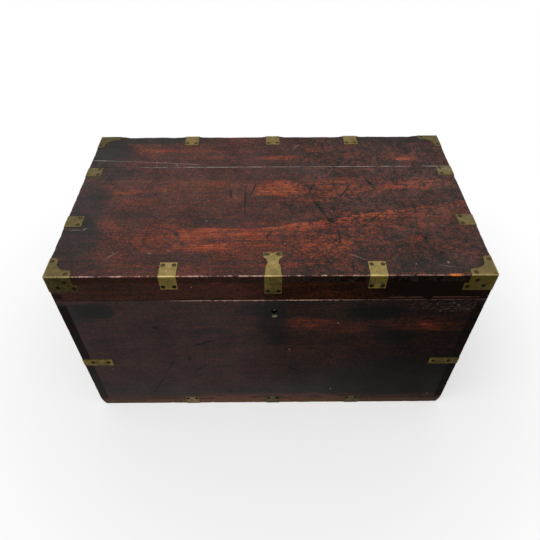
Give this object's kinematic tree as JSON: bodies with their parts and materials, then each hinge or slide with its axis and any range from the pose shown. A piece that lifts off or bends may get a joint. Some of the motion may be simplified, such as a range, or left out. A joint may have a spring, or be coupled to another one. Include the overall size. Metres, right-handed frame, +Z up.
{
  "type": "sea chest",
  "caption": "Brass-bound wooden sea chest with a shallow hinged lid, dovetailed walls, end handles and a lid lock.",
  "frame": {"origin": "middle of the underside, on the floor", "axes": "+X to the right along the front, +Y to the back where the hinges are, +Z up"},
  "size_m": [0.95, 0.5266, 0.5053],
  "materials": {
    "lid_wood": "worn polish, figured",
    "side_wood": "dark worn polish",
    "bottom_wood": "bare and rubbed",
    "aged_brass": "aged, dull, rubbed at the edges",
    "lock_steel": "dark, oiled"
  },
  "bodies": {
    "base": {"back_board": "side_wood", "base_corner_strap_back_left": "aged_brass", "base_corner_strap_back_right": "aged_brass", "base_corner_strap_front_left": "aged_brass", "base_corner_strap_front_right": "aged_brass", "bottom_front_board": "bottom_wood", "bottom_rear_board": "bottom_wood", "foot_back_strap_1": "aged_brass", "foot_back_strap_2": "aged_brass", "foot_back_strap_3": "aged_brass", "foot_front_strap_1": "aged_brass", "foot_front_strap_2": "aged_brass", "foot_front_strap_3": "aged_brass", "foot_left_strap_1": "aged_brass", "foot_left_strap_2": "aged_brass", "foot_right_strap_1": "aged_brass", "foot_right_strap_2": "aged_brass", "front_board": "side_wood", "handle_plate_left": "aged_brass", "handle_plate_right": "aged_brass", "hinge_base_leaf_1": "aged_brass", "hinge_base_leaf_2": "aged_brass", "hinge_pin_1": "lock_steel", "hinge_pin_2": "lock_steel", "left_end_board": "side_wood", "lock_back_plate": "aged_brass", "lock_case": "aged_brass", "lock_key_pin": "lock_steel", "right_end_board": "side_wood"},
    "lid": {"hinge_lid_leaf_1": "aged_brass", "hinge_lid_leaf_2": "aged_brass", "lid_back_rail": "side_wood", "lid_back_strap_1": "aged_brass", "lid_back_strap_2": "aged_brass", "lid_back_strap_3": "aged_brass", "lid_bracket_back_left": "aged_brass", "lid_bracket_back_right": "aged_brass", "lid_bracket_front_left": "aged_brass", "lid_bracket_front_right": "aged_brass", "lid_front_hasp_strap": "aged_brass", "lid_front_rail": "side_wood", "lid_front_strap_1": "aged_brass", "lid_front_strap_2": "aged_brass", "lid_left_rail": "side_wood", "lid_left_strap_1": "aged_brass", "lid_left_strap_2": "aged_brass", "lid_right_rail": "side_wood", "lid_right_strap_1": "aged_brass", "lid_right_strap_2": "aged_brass", "lid_top_front_board": "lid_wood", "lid_top_rear_board": "lid_wood", "lock_link_plate": "aged_brass"},
    "lock_bolt": {"lock_bolt": "lock_steel"},
    "bail_left": {"handle_bail_left": "aged_brass"},
    "bail_right": {"handle_bail_right": "aged_brass"}
  },
  "joints": [
    {"name": "lid_hinge", "type": "hinge", "parent": "base", "child": "lid", "pos_m": [0, 0.256, 0.42975], "axis": [-1, 0, 0], "range_deg": [0, 100]},
    {"name": "lock_bolt_slide", "type": "slide", "parent": "base", "child": "lock_bolt", "axis": [1, 0, 0], "range_m": [0, 0.008]},
    {"name": "left_bail_swing", "type": "hinge", "parent": "base", "child": "bail_left", "pos_m": [-0.468, 0, 0.3], "axis": [0, 1, 0], "range_deg": [0, 90]},
    {"name": "right_bail_swing", "type": "hinge", "parent": "base", "child": "bail_right", "pos_m": [0.468, 0, 0.3], "axis": [0, -1, 0], "range_deg": [0, 90]}
  ]
}
